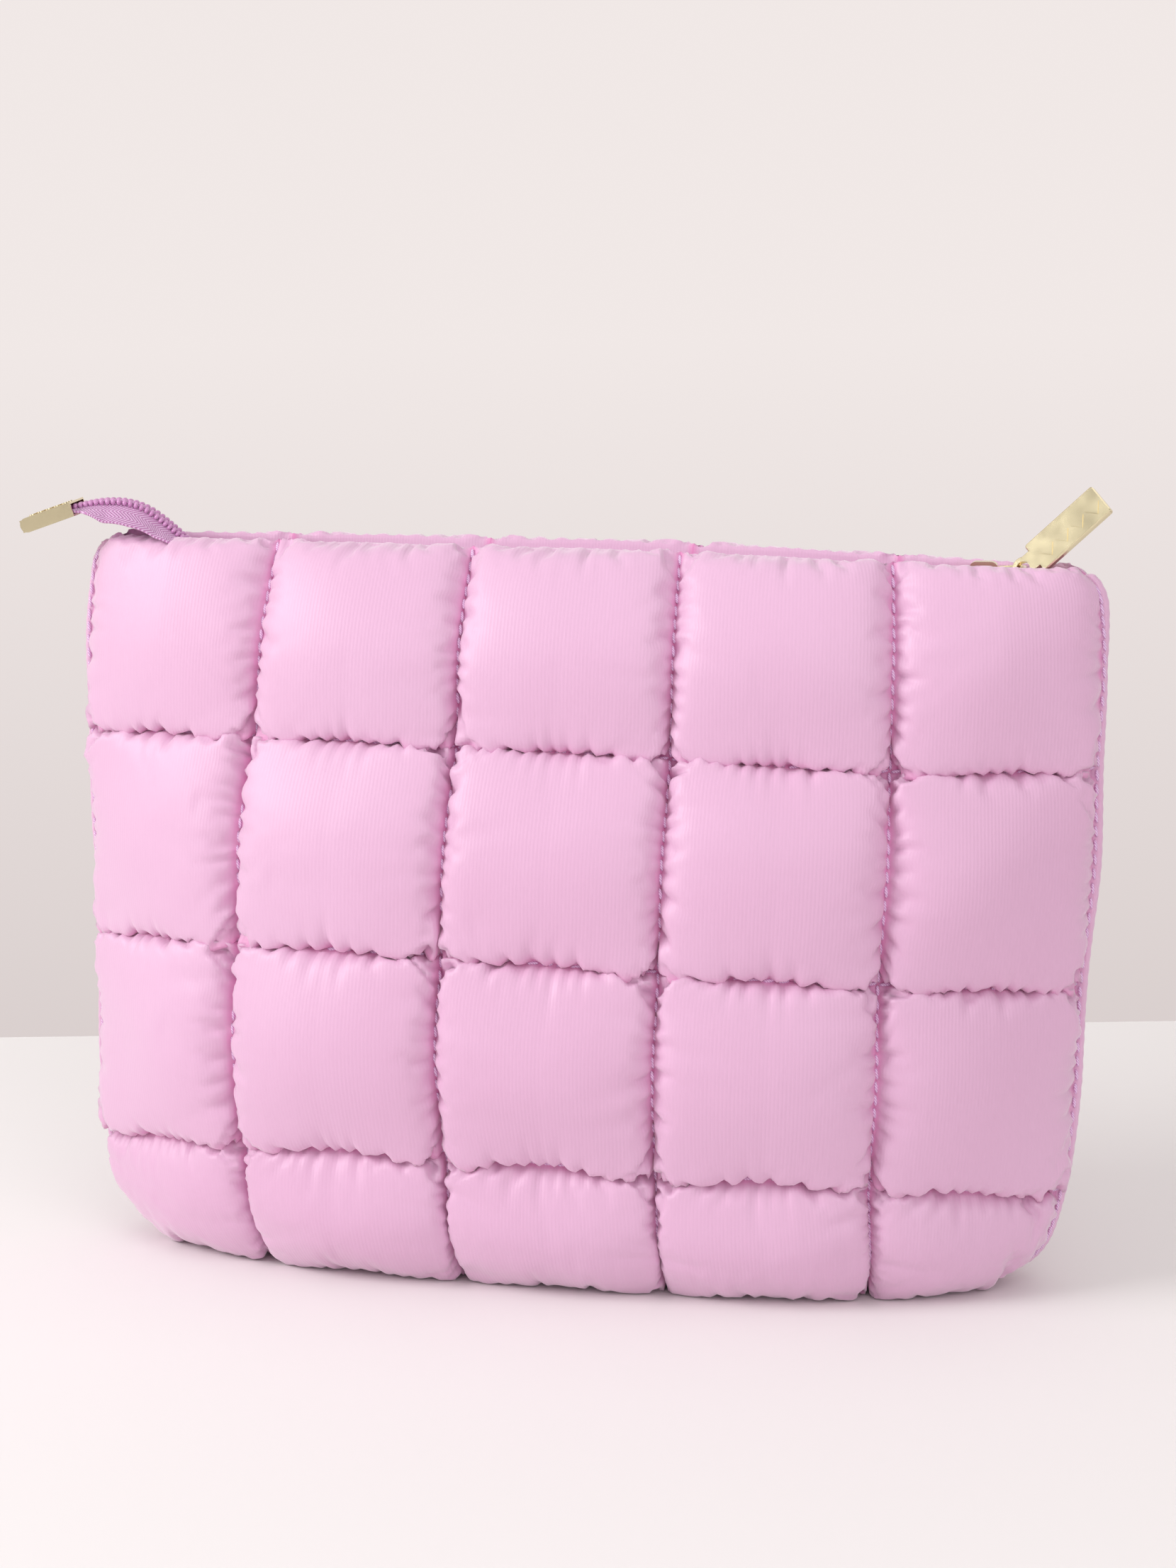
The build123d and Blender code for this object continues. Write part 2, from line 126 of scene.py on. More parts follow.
# ------------------------------------------------------------------ small tools
def through(values, at):
    """A smooth curve through evenly spaced values, read at any place along them."""
    values = np.asarray(values, float)
    first, last = 2 * values[:1] - values[1:2], 2 * values[-1:] - values[-2:-1]
    padded = np.concatenate([first, values, last])
    index = np.clip(np.floor(at).astype(int), 0, len(values) - 2)
    part = (at - index).reshape((-1,) + (1,) * (values.ndim - 1))
    a, b, c, d = (padded[index + step] for step in range(4))
    return b + 0.5 * part * (c - a + part * (2 * a - 5 * b + 4 * c - d + part * (3 * (b - c) + d - a)))


def outward(grid):
    """Unit normals of a grid of points that runs down and to the right as seen from outside."""
    across, down = np.gradient(grid, axis=1), np.gradient(grid, axis=0)
    normal = np.cross(down, across)
    return normal / (np.linalg.norm(normal, axis=2, keepdims=True) + 1e-9)


def new_object(name, mesh, *materials):
    piece = bpy.data.objects.new(name, mesh)
    bpy.context.scene.collection.objects.link(piece)
    for material in materials:
        mesh.materials.append(material)
    return piece


def grid_mesh(name, grid, uv=None, flip=False):
    """A mesh of quads over a grid of points in millimetres, with a UV map in metres."""
    rows, columns = grid.shape[:2]
    index = np.arange(rows * columns).reshape(rows, columns)
    quads = np.stack([index[:-1, :-1], index[1:, :-1], index[1:, 1:], index[:-1, 1:]], -1)
    quads = quads.reshape(-1, 4)
    if flip:
        quads = quads[:, ::-1]
    mesh = bpy.data.meshes.new(name)
    mesh.from_pydata((grid.reshape(-1, 3) * MM).tolist(), [], quads.tolist())
    if uv is not None:
        layer = mesh.uv_layers.new(name="cloth")
        layer.data.foreach_set("uv", (uv.reshape(-1, 2)[quads.ravel()] * MM).ravel())
    mesh.shade_smooth()
    return mesh


def modified(piece):
    """Turns what a piece's modifiers make into its own plain mesh, and removes them."""
    graph = bpy.context.evaluated_depsgraph_get()
    mesh = bpy.data.meshes.new_from_object(piece.evaluated_get(graph))
    piece.modifiers.clear()
    piece.data = mesh
    return piece


def thickened(piece, thickness, side):
    """Gives a sheet its thickness, in metres, on one side of it."""
    thick = piece.modifiers.new("thick", "SOLIDIFY")
    thick.thickness, thick.offset = thickness, side
    return modified(piece)


# ------------------------------------------------------------------ materials
def new_material(name, color, roughness, **sockets):
    material = bpy.data.materials.new(name)
    material.use_nodes = True
    shader = material.node_tree.nodes["Principled BSDF"]
    shader.inputs["Base Color"].default_value = (*color, 1)
    shader.inputs["Roughness"].default_value = roughness
    for socket, value in sockets.items():
        shader.inputs[socket.replace("_", " ")].default_value = value
    return material, material.node_tree, shader


NODE_SETTINGS = ("operation", "data_type", "wave_type", "bands_direction", "uv_map",
                 "primary_axis", "secondary_axis")


def add_node(tree, kind, **settings):
    """A new shader or geometry node, with its settings and the values of its sockets."""
    node = tree.nodes.new(kind)
    for name, value in settings.items():
        if name in NODE_SETTINGS:
            setattr(node, name, value)
        else:
            node.inputs[name.replace("_", " ")].default_value = value
    return node


def bump(tree, shader, height, strength, distance, below=None):
    node = add_node(tree, "ShaderNodeBump", Strength=strength, Distance=distance)
    tree.links.new(height, node.inputs["Height"])
    if below is not None:
        tree.links.new(below.outputs["Normal"], node.inputs["Normal"])
    tree.links.new(node.outputs["Normal"], shader.inputs["Normal"])
    return node


def color_ramp(tree, source, low, high):
    """Colours that run from low to high as the source value does."""
    ramp = tree.nodes.new("ShaderNodeValToRGB")
    ramp.color_ramp.elements[0].color, ramp.color_ramp.elements[1].color = (*low, 1), (*high, 1)
    tree.links.new(source, ramp.inputs["Fac"])
    return ramp


def quilted_nylon():
    """Soft satin nylon with a fine upright rib, and painted shade in deeper pink along the seams."""
    material, tree, shader = new_material(
        "quilted_nylon", (0.70, 0.40, 0.59), 0.52, Sheen_Weight=0.5, Sheen_Roughness=0.5,
        Specular_IOR_Level=0.75
    )
    cloth = add_node(tree, "ShaderNodeUVMap", uv_map="cloth")
    rib = add_node(tree, "ShaderNodeTexWave", wave_type="BANDS", bands_direction="X",
                   Scale=410.0, Distortion=0.6, Detail=1.0, Detail_Scale=3.0)
    tree.links.new(cloth.outputs["UV"], rib.inputs["Vector"])
    slub = add_node(tree, "ShaderNodeTexNoise", Scale=900.0, Detail=2.0)
    tree.links.new(cloth.outputs["UV"], slub.inputs["Vector"])
    first = bump(tree, shader, rib.outputs["Fac"], 0.35, 0.00006)
    bump(tree, shader, slub.outputs["Fac"], 0.25, 0.00008, below=first)
    tone = add_node(tree, "ShaderNodeTexNoise", Scale=14.0, Detail=3.0)
    place = add_node(tree, "ShaderNodeTexCoord")
    tree.links.new(place.outputs["Object"], tone.inputs["Vector"])
    ramp = color_ramp(tree, tone.outputs["Fac"], (0.69, 0.385, 0.575), (0.71, 0.415, 0.605))
    ramp.color_ramp.elements[0].position, ramp.color_ramp.elements[1].position = 0.3, 0.7
    # Painted shade: near the seams a deeper, more saturated pink is mixed in for the shade in the seam
    # valleys.
    seam = tree.nodes.new("ShaderNodeAttribute")
    seam.attribute_name = "seam"
    seam_shade_mix = tree.nodes.new("ShaderNodeMixRGB")
    seam_shade_mix.inputs["Color2"].default_value = (0.74, 0.235, 0.50, 1)
    tree.links.new(seam.outputs["Fac"], seam_shade_mix.inputs["Fac"])
    tree.links.new(ramp.outputs["Color"], seam_shade_mix.inputs["Color1"])
    tree.links.new(seam_shade_mix.outputs["Color"], shader.inputs["Base Color"])
    return material


def sewing_thread():
    """Two-ply polyester thread: its plies show as slanting grooves, with painted shade darkening the
    grooves.
    """
    material, tree, shader = new_material("sewing_thread", (0.86, 0.60, 0.83), 0.32,
                                          Sheen_Weight=0.2)
    place = add_node(tree, "ShaderNodeTexCoord")
    ply = add_node(tree, "ShaderNodeTexWave", wave_type="BANDS", bands_direction="DIAGONAL",
                   Scale=900.0, Distortion=0.5)
    tree.links.new(place.outputs["Object"], ply.inputs["Vector"])
    bump(tree, shader, ply.outputs["Fac"], 0.5, 0.0001)
    # Painted shade: the grooves between the plies are coloured darker.
    ramp = color_ramp(tree, ply.outputs["Fac"], (0.60, 0.30, 0.58), (0.86, 0.66, 0.86))
    tree.links.new(ramp.outputs["Color"], shader.inputs["Base Color"])
    return material


def herringbone_tape():
    """Woven tape: slanting ribs that turn back on themselves in narrow lanes, with painted shade
    darkening the grooves between the ribs.
    """
    material, tree, shader = new_material("herringbone_tape", (0.62, 0.28, 0.55), 0.6,
                                          Sheen_Weight=0.3)
    cloth = add_node(tree, "ShaderNodeUVMap", uv_map="cloth")
    split = tree.nodes.new("ShaderNodeSeparateXYZ")
    tree.links.new(cloth.outputs["UV"], split.inputs["Vector"])
    lane = add_node(tree, "ShaderNodeMath", operation="PINGPONG")
    lane.inputs[1].default_value = 0.0022
    tree.links.new(split.outputs["Y"], lane.inputs[0])
    slant = add_node(tree, "ShaderNodeMath", operation="ADD")
    tree.links.new(split.outputs["X"], slant.inputs[0])
    tree.links.new(lane.outputs[0], slant.inputs[1])
    turn = add_node(tree, "ShaderNodeMath", operation="MULTIPLY")
    turn.inputs[1].default_value = 2 * pi / 0.0009
    tree.links.new(slant.outputs[0], turn.inputs[0])
    rib = add_node(tree, "ShaderNodeMath", operation="SINE")
    tree.links.new(turn.outputs[0], rib.inputs[0])
    shade = add_node(tree, "ShaderNodeMapRange")
    shade.inputs["From Min"].default_value = -1.0
    tree.links.new(rib.outputs[0], shade.inputs["Value"])
    bump(tree, shader, shade.outputs["Result"], 0.9, 0.00025)
    # Painted shade: the tape is coloured darker in the grooves between its ribs.
    ramp = color_ramp(tree, shade.outputs["Result"], (0.50, 0.17, 0.42), (0.80, 0.50, 0.76))
    tree.links.new(ramp.outputs["Color"], shader.inputs["Base Color"])
    return material


def coil_nylon():
    material, tree, shader = new_material("coil_nylon", (0.62, 0.27, 0.54), 0.35)
    place = add_node(tree, "ShaderNodeTexCoord")
    tone = add_node(tree, "ShaderNodeTexNoise", Scale=700.0, Detail=2.0)
    tree.links.new(place.outputs["Object"], tone.inputs["Vector"])
    ramp = color_ramp(tree, tone.outputs["Fac"], (0.54, 0.21, 0.46), (0.70, 0.36, 0.63))
    tree.links.new(ramp.outputs["Color"], shader.inputs["Base Color"])
    return material


def lining_cloth():
    """Thin, plain-woven lining, with painted shade darkening the valleys of its soft folds."""
    material, tree, shader = new_material("lining_cloth", (0.72, 0.40, 0.60), 0.5,
                                          Sheen_Weight=0.15)
    cloth = add_node(tree, "ShaderNodeUVMap", uv_map="cloth")
    weave = add_node(tree, "ShaderNodeTexVoronoi", Scale=1800.0)
    tree.links.new(cloth.outputs["UV"], weave.inputs["Vector"])
    first = bump(tree, shader, weave.outputs["Distance"], 0.3, 0.00008)
    fold = add_node(tree, "ShaderNodeTexNoise", Scale=45.0, Detail=3.0)
    tree.links.new(cloth.outputs["UV"], fold.inputs["Vector"])
    bump(tree, shader, fold.outputs["Fac"], 0.35, 0.0015, below=first)
    # Painted shade: the lining is coloured darker in the valleys of its folds.
    ramp = color_ramp(tree, fold.outputs["Fac"], (0.66, 0.34, 0.54), (0.76, 0.44, 0.64))
    tree.links.new(ramp.outputs["Color"], shader.inputs["Base Color"])
    return material


def gold_plate():
    """Polished pale gold plating with faint polishing marks."""
    material, tree, shader = new_material("gold_plate", (0.78, 0.68, 0.45), 0.16, Metallic=1.0)
    place = add_node(tree, "ShaderNodeTexCoord")
    marks = add_node(tree, "ShaderNodeTexNoise", Scale=220.0, Detail=4.0)
    tree.links.new(place.outputs["Object"], marks.inputs["Vector"])
    rough = add_node(tree, "ShaderNodeMapRange", To_Min=0.11, To_Max=0.24)
    tree.links.new(marks.outputs["Fac"], rough.inputs["Value"])
    tree.links.new(rough.outputs["Result"], shader.inputs["Roughness"])
    bump(tree, shader, marks.outputs["Fac"], 0.08, 0.0001)
    return material


NYLON, THREAD, TAPE_CLOTH = quilted_nylon(), sewing_thread(), herringbone_tape()
COIL_PLASTIC, LINING_CLOTH, GOLD = coil_nylon(), lining_cloth(), gold_plate()


# ------------------------------------------------------------------ rows of stitches and coil
def row_tree(name, sizes):
    """Geometry nodes that lay one rounded bead on each point, turned along its row."""
    tree = bpy.data.node_groups.new(name, "GeometryNodeTree")
    face = tree.interface
    face.new_socket("Points", in_out="INPUT", socket_type="NodeSocketGeometry")
    for label, value in sizes.items():
        face.new_socket(label, in_out="INPUT", socket_type="NodeSocketFloat").default_value = value
    face.new_socket("Finish", in_out="INPUT", socket_type="NodeSocketMaterial")
    face.new_socket("Row", in_out="OUTPUT", socket_type="NodeSocketGeometry")
    link = tree.links.new
    start, end = tree.nodes.new("NodeGroupInput"), tree.nodes.new("NodeGroupOutput")
    bead = tree.nodes.new("GeometryNodeMeshUVSphere")
    bead.inputs["Segments"].default_value, bead.inputs["Rings"].default_value = 8, 6
    bead.inputs["Radius"].default_value = 0.5
    size = tree.nodes.new("ShaderNodeCombineXYZ")
    for axis, label in zip("XYZ", ("Length", "Width", "Height")):
        link(start.outputs[label], size.inputs[axis])
    shape = tree.nodes.new("GeometryNodeTransform")
    lean = tree.nodes.new("ShaderNodeCombineXYZ")
    link(start.outputs["Lean"], lean.inputs["Z"])
    link(bead.outputs["Mesh"], shape.inputs["Geometry"])
    link(size.outputs["Vector"], shape.inputs["Scale"])
    tilt = tree.nodes.new("GeometryNodeTransform")
    link(shape.outputs["Geometry"], tilt.inputs["Geometry"])
    link(lean.outputs["Vector"], tilt.inputs["Rotation"])
    smooth = tree.nodes.new("GeometryNodeSetShadeSmooth")
    link(tilt.outputs["Geometry"], smooth.inputs["Geometry"])
    named = "GeometryNodeInputNamedAttribute"
    along = add_node(tree, named, data_type="FLOAT_VECTOR", Name="along")
    facing = add_node(tree, named, data_type="FLOAT_VECTOR", Name="facing")
    turn = add_node(tree, "FunctionNodeAxesToRotation", primary_axis="Z", secondary_axis="X")
    link(facing.outputs["Attribute"], turn.inputs["Primary Axis"])
    link(along.outputs["Attribute"], turn.inputs["Secondary Axis"])
    place = tree.nodes.new("GeometryNodeInstanceOnPoints")
    link(start.outputs["Points"], place.inputs["Points"])
    link(smooth.outputs["Geometry"], place.inputs["Instance"])
    link(turn.outputs["Rotation"], place.inputs["Rotation"])
    real = tree.nodes.new("GeometryNodeRealizeInstances")
    link(place.outputs["Instances"], real.inputs["Geometry"])
    finish = tree.nodes.new("GeometryNodeSetMaterial")
    link(real.outputs["Geometry"], finish.inputs["Geometry"])
    link(start.outputs["Finish"], finish.inputs["Material"])
    link(finish.outputs["Geometry"], end.inputs["Row"])
    return tree


STITCHES = row_tree("stitches", {"Length": 0.0029, "Width": 0.0009, "Height": 0.0008, "Lean": 0.14})
COIL_TURNS = row_tree("coil_turns", {"Length": 0.0013, "Width": 0.0031, "Height": 0.0017,
                                     "Lean": COIL_LEAN})


def laid_row(name, tree, material, points, along, facing, **sizes):
    """A piece made of one bead for each point, in millimetres."""
    mesh = bpy.data.meshes.new(name)
    mesh.from_pydata((np.asarray(points) * MM).tolist(), [], [])
    for label, values in (("along", along), ("facing", facing)):
        layer = mesh.attributes.new(label, "FLOAT_VECTOR", "POINT")
        layer.data.foreach_set("vector", np.asarray(values, np.float32).ravel())
    piece = new_object(name, mesh)
    modifier = piece.modifiers.new("row", "NODES")
    modifier.node_group = tree
    for item in tree.interface.items_tree:
        if item.name == "Finish":
            modifier[item.identifier] = material
        elif item.name in sizes:
            modifier[item.identifier] = sizes[item.name]
    modified(piece)
    return piece


# ------------------------------------------------------------------ the quilted walls
def wall_form():
    """Seam-level points of the front wall: down it by cloth cells, and from left to right."""
    down = np.linspace(0, ROWS, ROWS * CELLS + 1)
    across = np.linspace(0, COLUMNS, COLUMNS * CELLS + 1)
    form = np.zeros((len(down), len(across), 3))
    for k, (height, depth, inner, outer, side, boxy) in enumerate(through(SEAM_LEVELS, down * 2)):
        x = through([-side, -outer, -inner, inner, outer, side], across)
        share = np.abs(np.clip(x / side, -1, 1))
        shift = through(through(SEAM_SHIFT, down[k:k + 1] * 2)[0], across)
        form[k, :, 0] = x + shift[:, 0]
        form[k, :, 1] = -SIDE_GAP - (depth - SIDE_GAP) * (1 - share**boxy)
        form[k, :, 2] = height + shift[:, 1]
    form = round_corners(form)
    from_side = np.minimum(across, COLUMNS - across)
    swell = SEAM_BOW * np.abs(np.sin(pi * across)) ** 0.8
    return form + outward(form) * swell[None, :, None] * np.clip(from_side * 2, 0, 1)[None, :, None]


def round_corners(form):
    """Turns the square top corners of a wall into quarter circles."""
    for side, column in ((-1, 0), (1, -1)):
        end_x, top_z = form[0, column, 0], form[0, column, 2]
        u = np.clip((side * (form[..., 0] - end_x) + CORNER) / CORNER, 0, 1)
        v = np.clip((form[..., 2] - top_z + CORNER) / CORNER, 0, 1)
        form[..., 0] += side * CORNER * (u * np.sqrt(1 - v**2 / 2) - u)
        form[..., 2] += CORNER * (v * np.sqrt(1 - u**2 / 2) - v)
    return form


def hem_form(form):
    """The top edge of a wall, turned in over the crest and down to the zip tape."""
    crest = form[0]
    share = (np.arange(HEM_CELLS, 0, -1) / HEM_CELLS)[:, None]
    inner = -np.minimum(HEM_INSET, np.maximum(np.abs(crest[:, 1]) - 1.0, 0.5))[None, :]
    hem = np.repeat(crest[None], HEM_CELLS, axis=0).copy()
    hem[:, :, 1] = crest[None, :, 1] + (inner - crest[None, :, 1]) * np.minimum(1, share * 1.6)
    roll = HEM_ROLL * np.sin(pi * np.minimum(1, share * 2))
    hem[:, :, 2] = crest[None, :, 2] + roll - HEM_DROP * share**1.7
    return hem


def puffed(form, seed):
    """Lets the cloth between the seams swell over its padding, with the seams held."""
    rows, columns = form.shape[:2]
    normal = outward(form)
    k = np.arange(rows)[:, None] - HEM_CELLS
    i = np.arange(columns)[None, :]
    on_upright = (i % CELLS == 0) & (k >= 0)
    on_level = (k % CELLS == 0) & (k > 0)
    held = on_upright | on_level | (k < -1) | (i == 0) | (i == columns - 1)
    hole = (on_upright & (k % 2 == 0)) | (on_level & (i % 2 == 0))
    random = np.random.default_rng(seed)
    middle = np.abs(np.sin(pi * i / CELLS) * np.sin(pi * np.maximum(k, 0) / CELLS))
    lift = START_LIFT * middle**0.8
    lift = lift + random.normal(0, START_RANDOM, form.shape[:2]) * np.minimum(1, lift)
    start = form + normal * (lift - NEEDLE_DIP * hole)[..., None]

    sheet = new_object("cloth", grid_mesh("cloth", start * SIM_SCALE))
    group = sheet.vertex_groups.new(name="held")
    group.add(np.flatnonzero(held).tolist(), 1.0, "REPLACE")
    cloth = sheet.modifiers.new("cloth", "CLOTH")
    cloth.collision_settings.use_collision = False
    settings = cloth.settings
    settings.quality, settings.mass = 6, 0.02
    settings.tension_stiffness = settings.compression_stiffness = 15
    settings.shear_stiffness, settings.bending_stiffness = 5, 0.04
    settings.tension_damping = settings.compression_damping = settings.shear_damping = 2
    settings.bending_damping, settings.air_damping = 0.1, 2
    settings.vertex_group_mass, settings.pin_stiffness = "held", 20
    settings.use_pressure, settings.uniform_pressure_force = True, 11.0
    settings.shrink_min = -FULLNESS
    settings.effector_weights.gravity = 0.007
    for step in range(1, 1 + SIM_STEPS):
        bpy.context.scene.frame_set(step)
    graph = bpy.context.evaluated_depsgraph_get()
    points = np.empty(rows * columns * 3, np.float32)
    sheet.evaluated_get(graph).data.vertices.foreach_get("co", points)
    bpy.data.objects.remove(sheet)
    bpy.context.scene.frame_set(1)
    return points.reshape(rows, columns, 3).astype(float) / (MM * SIM_SCALE)


def settled(form, swollen):
    """Fills the puffs' corners, flattens their faces, and hangs each one over the seam below it."""
    rows = form.shape[0]
    normal = outward(form)
    rise = ((swollen - form) * normal).sum(2)
    down = np.clip((np.arange(rows)[:, None] - HEM_CELLS) / CELLS, 0, ROWS - 1e-6)
    across = np.arange(form.shape[1])[None, :] / CELLS
    from_upright = 2 * np.abs(across - np.round(across))
    from_level = np.where(down < 0.5, 1.0, 2 * np.abs(down - np.round(down)))
    from_corner = np.clip(np.maximum(from_upright, from_level), CORNER_NEAR, 1)
    filled = rise * from_corner**-CORNER_FILL
    firm = np.where(rise > 0, PUFF_LIMIT * np.tanh(PUFF_GAIN * filled / PUFF_LIMIT), rise)
    share = down - np.floor(down)
    drop = OVERHANG * share**3 - UPLIFT * (1 - share) ** 5 * (down > 0.99)
    drop = drop * (down > 0) * (down < 3)
    cloth = swollen + normal * (firm - rise)[..., None]
    cloth[..., 2] -= np.clip(firm, 0, None) * drop
    return cloth


def finer(grid):
    """The same surface on a finer grid."""
    for _ in range(2):
        grid = through(grid, np.linspace(0, len(grid) - 1, (len(grid) - 1) * FINER + 1)).swapaxes(0, 1)
    return grid


def creased(cloth, normal, seed):
    """Gathers where stitching draws the cloth in, and a few soft folds across each puff."""
    random = np.random.default_rng(seed)
    rows, columns = cloth.shape[:2]
    cell = CELL / FINER
    top = HEM_CELLS * FINER
    square = CELLS * FINER
    height = np.zeros((rows, columns))

    def fold(row, column, toward, tilt, length, wide, deep):
        """One crease that starts at a grid point on a seam and fades away from it."""
        reach = int(length * 1.5 / cell) + 2
        first_row, last_row = max(0, int(row) - reach), min(rows, int(row) + reach)
        first, last = max(0, int(column) - reach), min(columns, int(column) + reach)
        if first_row >= last_row or first >= last:
            return
        down, across = np.mgrid[first_row:last_row, first:last]
        down, across = (down - row) * cell, (across - column) * cell
        away = across * toward[0] + down * toward[1]
        beside = -across * toward[1] + down * toward[0] - tilt * away - tilt * 0.02 * away**2
        along = np.clip(away / length, 0, 1.6)
        width = wide * (1 + 0.8 * along)
        shape = np.exp(-((beside / width) ** 2)) * np.exp(-2.2 * along**1.5)
        shape = shape * np.clip((away + 0.6) / 1.8, 0, 1)
        height[first_row:last_row, first:last] -= deep * shape

    for line in range(0, COLUMNS + 1):
        column = line * square
        for side in (-1, 1):
            if not 0 < column + side < columns:
                continue
            row = top + 3.0
            while row < rows - 4:
                row += random.uniform(1.6, 5.5) / cell
                long = random.uniform(2.5, 9) if random.random() < 0.72 else random.uniform(10, 24)
                deep = random.uniform(0.08, 0.38) + 0.012 * long
                tilt = random.normal(0, 0.26)
                fold(row, column, (side, 0), tilt, long, random.uniform(0.5, 1.0) + long * 0.03, deep)
    for line in range(1, ROWS):
        row = top + line * square
        for side, gap in ((1, 9.0), (-1, 6.0)):
            column = 0.0
            while column < columns - 3:
                column += random.uniform(0.35, 1.5) * gap / cell
                long = random.uniform(2, 7) if random.random() < 0.8 else random.uniform(8, 16)
                if line == ROWS - 1 and side == 1:
                    long = long * 1.3
                tilt, wide = random.normal(0, 0.22), random.uniform(0.6, 1.2) + long * 0.03
                fold(row, column, (0, side), tilt, long, wide, random.uniform(0.10, 0.32) + 0.008 * long)
    for _ in range(COLUMNS * 4):
        row = top + random.uniform(0.15, 3.7) * square
        column = random.uniform(0.03, COLUMNS - 0.03) * square
        lean = random.uniform(-0.7, 0.7)
        fold(row, column, (cos(lean), sin(lean)), random.normal(0, 0.1), random.uniform(9, 20),
             random.uniform(1.6, 3.2), random.uniform(0.2, 0.5))
    slack = random.normal(0, 1, (13, 16))
    soft = through(slack, np.linspace(0, 12, rows))
    soft = through(soft.T, np.linspace(0, 15, columns)).T
    phase_down = np.clip((np.arange(rows)[:, None] - top) / square, 0, ROWS)
    phase_across = np.arange(columns)[None, :] / square
    inside = np.abs(np.sin(pi * phase_down) * np.sin(pi * phase_across))
    height += 0.35 * soft * inside
    return cloth + normal * height[..., None]


def blended(piece, side, wall):
    """The middle third of a wall is attached to the wall's body; the outer thirds have their placement
    baked into their mesh.
    """
    if side == "middle":
        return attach(piece, wall)
    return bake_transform(piece)


def thirds():
    """The columns of cloth cells in the left, middle and right of a wall."""
    cuts = (0, 2 * CELLS, 3 * CELLS, COLUMNS * CELLS)
    return {"left": cuts[0:2], "middle": cuts[1:3], "right": cuts[2:4]}


def painted_seam_shade(rows, columns):
    """Painted shade along the seams: 1 on a seam, fading to 0 a few millimetres away; the shade under
    the fold over a level seam fades last.
    """
    across = np.arange(columns)[None, :] * CELL / FINER
    down = (np.arange(rows)[:, None] - HEM_CELLS * FINER) * CELL / FINER
    beside = np.abs((across + SQUARE / 2) % SQUARE - SQUARE / 2)
    level = (down + SQUARE / 2) % SQUARE - SQUARE / 2
    level = np.where(down < SQUARE / 2, 99, level)
    reach = np.where(level < 0, 2.8, 0.9)
    return np.maximum(np.exp(-((beside / 1.0) ** 2)), np.exp(-((level / reach) ** 2)))


def quilted_wall(name, body, seed, mirrored):
    """The face cloth and stitches of one wall, in thirds; the back wall mirrors the front one."""
    form = wall_form()
    form = np.concatenate([hem_form(form), form])
    cloth = finer(settled(form, puffed(form, seed)))
    cloth = creased(cloth, outward(finer(form)), seed + 20)
    cloth[..., 2] = np.maximum(cloth[..., 2], FLOOR_GAP)
    rows, columns = cloth.shape[:2]
    uv = np.stack(np.meshgrid(np.arange(columns), -np.arange(rows)), -1) * (CELL / FINER)
    # Painted shade along the seams, stored on each panel so the nylon deepens its pink there.
    seam = painted_seam_shade(rows, columns)
    normal = outward(form)
    flip = np.array([1, -1, 1]) if mirrored else np.ones(3)
    for side, (first, last) in thirds().items():
        part = slice(first * FINER, last * FINER + 1)
        mesh = grid_mesh(f"{name}_{side}", cloth[:, part] * flip, uv[:, part], flip=mirrored)
        near = mesh.attributes.new("seam", "FLOAT", "POINT")
        near.data.foreach_set("value", seam[:, part].astype(np.float32).ravel())
        panel = new_object(f"{name}_{side}", mesh, NYLON)
        blended(panel, side, body)
        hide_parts(f"{name}_panel", f"{name}_wadding")
        stitch_rows(f"{name}_stitches_{side}", form, normal, first, last, side, body, flip)
    return form


def stitch_rows(name, form, normal, first, last, side, body, flip):
    """Every quilting stitch on one third of a wall, each between two needle holes."""
    points, along, facing = [], [], []
    down, across = np.gradient(form, axis=0), np.gradient(form, axis=1)

    def lay(k, i, direction):
        points.append(form[k, i] + normal[k, i] * STITCH_STAND)
        along.append(direction[k, i] * flip)
        facing.append(normal[k, i] * flip)

    # The upright seams on both sides of the middle third belong to the outer thirds.
    uprights = [i for i in range(first, last + 1, CELLS) if 0 < i < COLUMNS * CELLS]
    for i in uprights if side != "middle" else ():
        for k in range(1, ROWS * CELLS, 2):
            lay(k + HEM_CELLS, i, down)
    for k in range(CELLS, ROWS * CELLS, CELLS):
        for i in range(first + 1, last, 2):
            lay(k + HEM_CELLS, i, across)
    row = laid_row(name, STITCHES, THREAD, np.array(points) * flip, along, facing)
    blended(row, side, body)


front_form = quilted_wall("front", "front_wall", 4, False)
quilted_wall("back", "back_wall", 11, True)


# ------------------------------------------------------------------ linings
LINING_TOP, LINING_FOOT = 0.25, 3.72  # in quilting squares down the wall
LINING_INSET = 1.8  # from the seams inwards
LINING = 0.0003  # thickness, in metres


